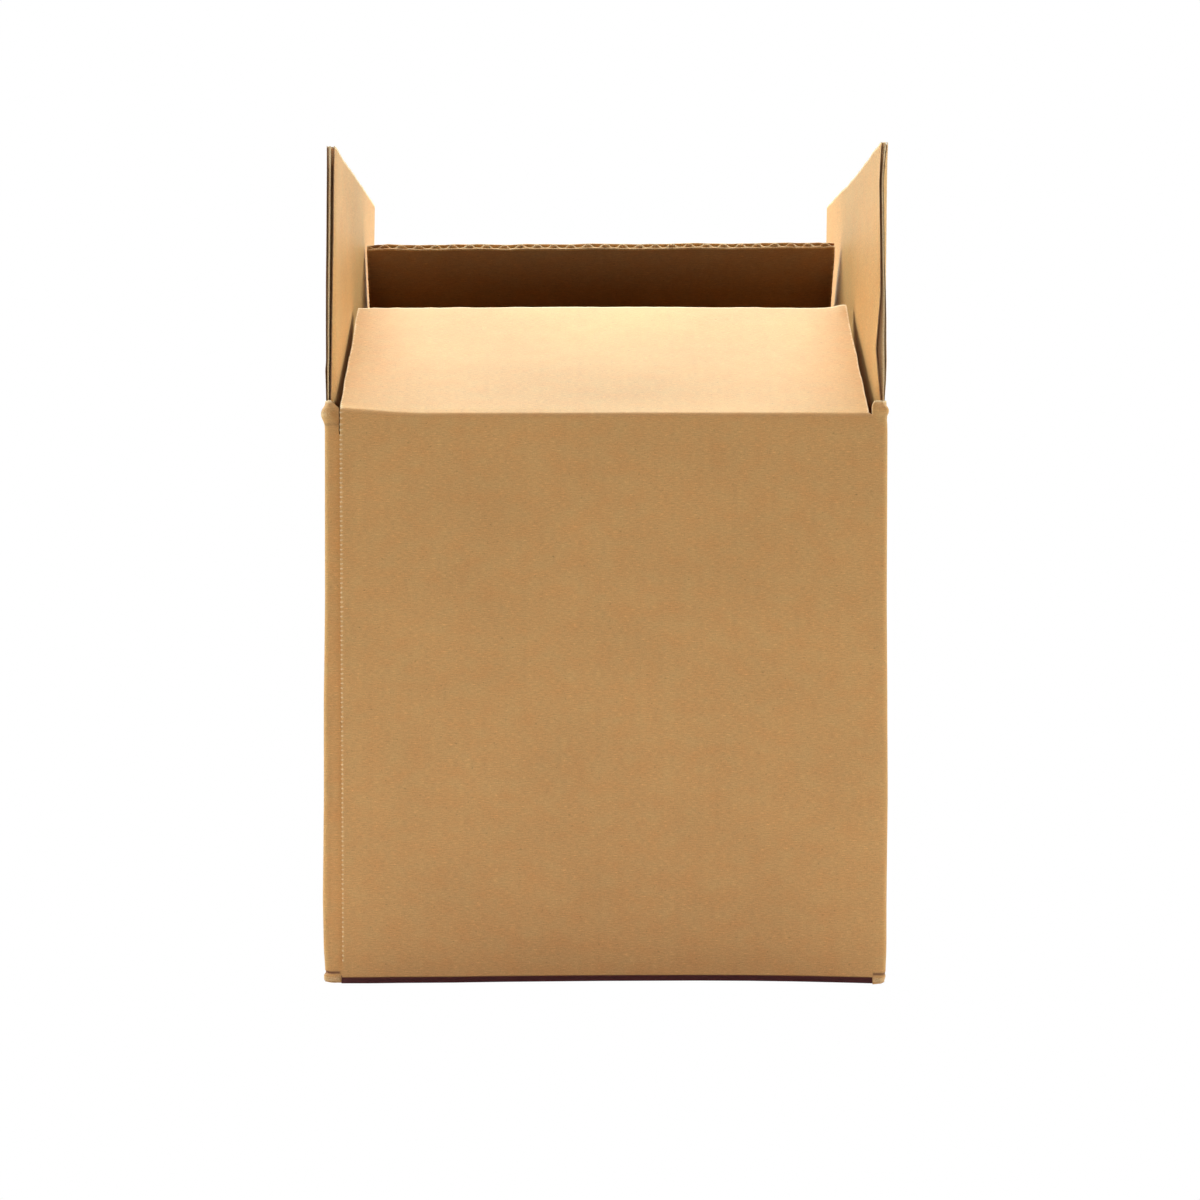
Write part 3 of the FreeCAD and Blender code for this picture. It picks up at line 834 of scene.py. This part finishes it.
def tip_line(spec, x_share, h, tip):
    """Move the free edge: longer or shorter across the flap, and a little ragged."""
    change = spec["tip"][0] + (spec["tip"][1] - spec["tip"][0]) * x_share
    place, still = x_share * RAGGED_WIDE, 0 * x_share
    ragged = 0.22 * uneven(place, still, 26, spec["seed"] + 3)
    ragged = ragged + spec["rough"] * 0.16 * uneven(place, still, 7, spec["seed"] + 4)
    return h + change * step(h, 30, tip) + ragged * step(h, tip - 5, tip)


def tip_rub(h):
    """Rub the free edge pale: only the last two rows of points."""
    rows = np.arange(len(h))[:, None] - (len(h) - 1)
    return 0.8 * (rows > -2) + 0 * h


def cut_wear_and_painted_light(spec, x_share, h, rub_and_shade):
    """Colour a layer by its distance to the cuts: one value left, one right, both ragged. A
    positive value rubs the paper pale, and a negative one is painted shade on the pinched edge. The
    joint's teeth add their pale fibre and painted highlight, and the free edge is made pale by
    rubbing.
    """
    reach = 0.5 + 0.35 * np.clip(uneven(h, 0 * h, 2.6, spec["seed"] + 9), -1, 1)
    left = np.exp(-(x_share * FLAP_WIDE / reach) ** 2) * rub_and_shade[0]
    right = np.exp(-((1 - x_share) * FLAP_WIDE / reach) ** 2) * rub_and_shade[1]
    teeth = 0 * h
    if spec["side"] == "front":
        teeth = teeth_rub_and_painted_highlight(x_share * FLAP_WIDE, CREASE + h) * step(h, 4, 2)
    return (left + right) * step(h, -1, 2) + teeth + tip_rub(h)


print("wear of the last four rows:", tip_rub(np.zeros((4, 1))).ravel())

# %% Build a flap from its layers
ROW = 0.62           # from one row of a liner's points to the next
SKIRT_END = -7.4     # the skirt ends this far below the score
HOLLOW_PAINTED_SHADE = -0.45  # painted shade in the flutes' hollow, on the liners' faces that look at the medium
END_COLUMNS = np.array([0, 0.0012, 0.003, 0.006, 0.010, 0.016, 0.024, 0.034])
WAVE_POINTS = 14     # points along one flute's wave


def flap_board(spec):
    """Build one flap: two liners with ragged sides and the wavy medium between them."""
    lean, radius = spec["lean"], spec["radius"]
    bend = (radius - PIVOT_DEPTH) * np.tan(lean / 2)
    tip = FLAP_LONG + radius * lean / 2 - bend
    low = SKIRT_END + bend - radius * lean / 2
    h_lines = np.concatenate([np.linspace(low, -3.6, 14), np.linspace(-3.3, 3.3, 25),
                              np.linspace(3.6, tip, int(tip / ROW))])
    x_lines = np.concatenate([END_COLUMNS, np.linspace(0.045, 0.955, 53),
                              1 - END_COLUMNS[::-1]])
    X, H = np.meshgrid(x_lines, h_lines)
    H = tip_line(spec, X, H, tip)
    distance = np.minimum(X, 1 - X) * FLAP_WIDE
    # Painted shade: near the cuts and above the bend, the liners' faces that look at the medium are
    # darker.
    hollow_shade = HOLLOW_PAINTED_SHADE * step(distance, 9, 4).ravel() * step(H, 0, 3).ravel()
    thin = LINER / BOARD
    parts = []
    for number, (top, bottom) in enumerate(((-PROUD / BOARD, thin), (1 - thin, 1 + PROUD / BOARD))):
        a, blank_a = flap_layer(spec, X, H, top)
        b, blank_b = flap_layer(spec, X, H, bottom)
        part = shell(a, b, blank_a, blank_b, cut_wear_and_painted_light(spec, X, H, spec["rub_and_shade"][number]))
        if number == 0:
            part.worn[X.size:] = hollow_shade
        else:
            part.worn[:X.size] = hollow_shade
            # Painted shade on the inner liner's inside face, for the front and rear flaps.
            part.worn[X.size:] += spec["inner_shade"]
        parts.append(part)
    waves = 2 * FLAP_SIDE / FLUTE
    x_fine = np.linspace(0.0006, 0.9994, int(waves * WAVE_POINTS))
    x_fine = np.unique(np.concatenate([x_fine, [0.0015, 0.003, 0.0045, 0.9955, 0.997, 0.9985]]))
    h_few = np.concatenate([np.linspace(low + 1, -4, 4), np.linspace(-3, 3, 9),
                            np.linspace(4, tip, 24)])
    X, H = np.meshgrid(x_fine, h_few)
    H = tip_line(spec, X, H, tip)
    drift = 0.10 * uneven(X * RAGGED_WIDE, 0 * X, 60, spec["seed"] + 5) * np.sin(np.pi * X)
    angle = 2 * np.pi * (X * waves + spec["phase"] + drift)
    wave = np.sin(angle) + 0.12 * np.sin(3 * angle)
    a, blank_a = flap_layer(spec, X, H, 0.0, wave)
    b, blank_b = flap_layer(spec, X, H, 1.0, wave)
    distance = np.minimum(X, 1 - X) * FLAP_WIDE
    fluffed = 0.5 * step(distance, 0.6, 0.2)
    # Painted shade: the medium is darker from about 1 to 12 mm in from a cut, in the hollow between
    # the liners; within a fraction of a millimetre of the cut it is fluffed pale.
    shaded = 0.5 * step(distance, 0.3, 0.9) * step(distance, 12, 6)
    inside = (fluffed - shaded) * step(H, -1, 2) + tip_rub(H)
    medium = shell(a, b, blank_a, blank_b, inside)
    medium.paint[:] = WAVY
    parts.append(medium)
    return make_piece(spec["side"] + "_flap_board", parts, [liner_paint, cut_paint, medium_paint])


print("a flap is", round(2 * FLAP_SIDE / FLUTE, 1), "flutes wide")

# %% How each flap is warped
def front_warp(x, h):
    """Swell gently, more towards the free edge, and curl its right corner up by 1.6 mm."""
    corner = np.exp(-((111 - x) / 6.0) ** 2 - ((FLAP_LONG - h) / 9.0) ** 2)
    swell = 0.25 * uneven(x, h, 160, 31) * step(h, 4, 40)
    return swell + 1.6 * corner + 0.5 * step(h, 60, FLAP_LONG)


def right_warp(x, h):
    """Bow outwards towards the free edge: 1.7 mm in front, 3 mm in the middle, 1.7 behind."""
    top = np.interp(x, [-112, -65, -20, 23, 95, 112], [1.7, 2.2, 2.8, 3.0, 1.9, 1.7])
    bow = top * (np.clip(h, 0, None) / FLAP_LONG) ** 1.3
    return bow + 0.15 * uneven(x, h, 80, 32) * step(h, 4, 40)


def rear_warp(x, h):
    """Tilt a little, so that the right end of the free edge, as seen from the front, is higher."""
    return (0.2 * uneven(x, h, 160, 33) - 0.9 * x / FLAP_SIDE) * step(h, 4, 110)


def left_warp(x, h):
    """Lean inwards towards the free edge, by half a millimetre in front and 1.6 behind."""
    top = np.interp(x, [-112, -46, 35, 112], [-1.6, -1.5, -0.7, -0.5])
    lean = top * np.sqrt(np.clip(h, 0, None) / FLAP_LONG)
    return lean + 0.15 * uneven(x, h, 80, 34) * step(h, 4, 40)


def front_lift(x):
    """Raise the bend by 1.3 mm beside its left slot, and lower it by 0.9 mm elsewhere."""
    return np.interp(x, [-111, -106, -97, -88, -78], [2.2, 1.75, 1.05, 0.35, 0]) - 0.9


def no_lift(x):
    """Keep the bend on the score line."""
    return 0 * x


print("the right flap bows out by", float(right_warp(0.0, FLAP_LONG).round(1)), "mm")

# %% [markdown]
# Four flaps from one description
# A flap is described by its lean and bend, its side lines (heights and places), its side cuts
# (heights, how far the face is pressed in, and how thick the board is), the change of length
# at the free edge's two ends, its roughness, its paint beside the cuts for the outer and the
# inner liner (positive rubs the paper pale, negative is painted shade), the painted shade of its
# inner face, and its warp. What isn't given is the same for all flaps.

# %% Shapes of the four flaps
EVEN_CUT = ([0, 6, 54, 114], [0.5, 0.5, 0.4, 0.4], [2.0, 2.2, 2.8, 3.1])
COMMON = {"lean": 0.0, "radius": 3.0, "crush": 1.0, "rough": 1.4, "inner_shade": 0.0,
          "left_line": ([0, FLAP_LONG], [-FLAP_SIDE, -FLAP_SIDE]),
          "right_line": ([0, FLAP_LONG], [FLAP_SIDE, FLAP_SIDE]),
          "skirt": (-SKIRT_SIDE, SKIRT_SIDE), "tip": (0.0, 0.0),
          "left_cut": EVEN_CUT, "right_cut": EVEN_CUT, "lift": no_lift}
flap_specs = [
    {**COMMON, "side": "front", "seed": 21, "lean": np.radians(63.3), "crush": 1.4,
     "rough": 2.4, "inner_shade": INNER_PAINTED_SHADE, "phase": 0.2, "rub_and_shade": ((0.8, 0.8), (-0.8, -0.8)),
     "left_line": ([0, 114], [-111.5, -111.6]),
     "right_line": ([0, 4, 110], [110.3, 110.3, 111.7]),
     "skirt": (-SLOT_SIDE, SKIRT_SIDE),
     "left_cut": ([0, 6, 114], [0.1, 0.1, 0.1], [2.0, 2.3, 3.2]),
     "right_cut": ([0, 6, 114], [0.1, 0.1, 0.1], [2.0, 2.3, 3.2]),
     "lift": front_lift, "warp": front_warp},
    {**COMMON, "side": "right", "seed": 22, "phase": -0.1, "rub_and_shade": ((0.25, 0.3), (-0.6, 0.3)),
     "tip": (0.0, -0.6),
     "left_cut": ([0, 5, 13.8, 22, 27, 39, 50, 64, 97, 106, 113],
                  [0.7, 0.7, 0.12, -0.1, 0.0, 0.25, 0.7, 1.5, 2.3, 1.8, 1.0],
                  [1.6, 1.6, 3.2, 4.2, 4.6, 3.5, 2.4, 1.9, 1.9, 2.15, 2.6]),
     "warp": right_warp},
    {**COMMON, "side": "rear", "seed": 23, "lean": np.radians(40.2), "crush": 1.3,
     "inner_shade": INNER_PAINTED_SHADE, "phase": 0.2, "rub_and_shade": ((-0.5, -0.5), (0.9, 0.9)),
     "tip": (0.5, 0.5),
     "left_line": ([0, 30, 75, 114], [-111.8, -112.6, -113.6, -113.1]),
     "right_line": ([0, 75, 114], [111.8, 112.1, 111.7]), "warp": rear_warp},
    {**COMMON, "side": "left", "seed": 24, "phase": 0.42, "rub_and_shade": ((0.3, -0.85), (0.3, -0.7)),
     "tip": (-0.2, -1.7),
     "right_cut": ([0, 6, 18, 22, 54, 104, 114], [0.5, 0.3, -0.1, 0.2, 0.0, 0.2, 0.2],
                   [1.9, 2.0, 2.6, 2.4, 2.9, 3.1, 3.3]),
     "warp": left_warp},
]
flaps = {spec["side"]: flap_board(spec) for spec in flap_specs}

# %% [markdown]
# Place the flaps
# Each flap's mesh reaches a little way down the wall. Its place is baked into its points, and the
# model's own flap of that side is hidden.

# %% Tie each flap to its crease
for spec in flap_specs:
    along, outward = side_frame(spec["side"])
    piece = flaps[spec["side"]]
    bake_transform(piece)
    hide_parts(spec["side"] + "_flap")

# %% [markdown]
# The closed bottom
# The bottom flaps are folded under and glued: front and rear outside, left and right inside.
# They use the same fold, turned downwards by a right angle.

# %% Build the bottom flaps
BASE_FLAP_LONG = 114.6
BASE_RADIUS = 1.7
INNER_LEVEL = 3.85   # the left and right bottom flaps lie on the other two, this high
# Distance from the panel's middle, and how far the fold is raised there.
BOW = ([-111, -98, -86, -65, -44, -2, 39, 60, 81, 102, 111],
       [0, 0, 0.15, 0.28, 0.6, 1.0, 1.15, 1.05, 0.75, 0.25, 0])


def bottom_board(side, level, seed):
    """Build one bottom flap: wall, tight fold, and a flat board under the carton."""
    radius, lean, half = BASE_RADIUS, np.pi / 2, SLOT_SIDE
    tip = BASE_FLAP_LONG + radius * lean / 2 - radius
    low = -BASE_SEAM - 0.6 + level + radius - radius * lean / 2
    h_lines = np.sort(np.concatenate([
        np.linspace(low, -2.0, 9), [-2.9, -2.7, -2.5, -2.3], np.linspace(-1.8, 2.2, 15),
        np.linspace(2.6, tip, 28)]))
    x_lines = np.concatenate([np.linspace(-half, -half + 8, 9),
                              np.linspace(-half + 12, half - 12, 52),
                              np.linspace(half - 8, half, 9)])
    X, H = np.meshgrid(x_lines, h_lines)
    ragged = nicks(H, seed) * step(np.abs(X), half - 6, half) * step(H, 0, 3)
    X = X + np.sign(X) * ragged
    if side == "front":
        X = X + 1.25 * np.clip((-X - 96) / 15, 0, 1) * step(H, 6, 0)
    out, up, turn = fold_line(H, lean, radius, 0.0)
    raised = level + np.interp(X, *BOW) * step(H, -7, -1) * step(H, 60, 8)
    groove = 1.3 * step(H, -2.9, -2.3) * step(H, 2.4, -1.0)
    along, outward = side_frame(side)
    u = SIDE_MIDDLE[side] + X
    press = 1.6 * bump(H, 0.6, 4.5)
    proud = PROUD * step(H, 3, 0)
    swell = dent(u, np.clip(level - H, 0, CREASE)) * step(H, 3, -3) - groove
    faces, blanks = [], []
    for depth in (-proud, BOARD - press + proud):
        shift = swell - depth
        out_here = HALF + out + shift * np.cos(turn)
        z = raised - (up + shift * np.sin(turn))
        flat = X[..., None] * along + out_here[..., None] * outward
        faces.append(np.concatenate([flat, z[..., None]], -1))
        blanks.append(np.stack([u, level - H, depth], -1))
    # Painted shade: the groove under the wall's lower edge and the fold below it are made dark.
    dark = -1.0 * step(H, -2.7, -2.2) * step(H, 8, 2)
    return shell(*faces, *blanks, dark)


base_parts = [bottom_board("front", 0.0, 41), bottom_board("rear", 0.0, 42),
              bottom_board("left", INNER_LEVEL, 43), bottom_board("right", INNER_LEVEL, 44)]
base = make_piece("carton_base", base_parts, [liner_paint, cut_paint])
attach(base, "carton")
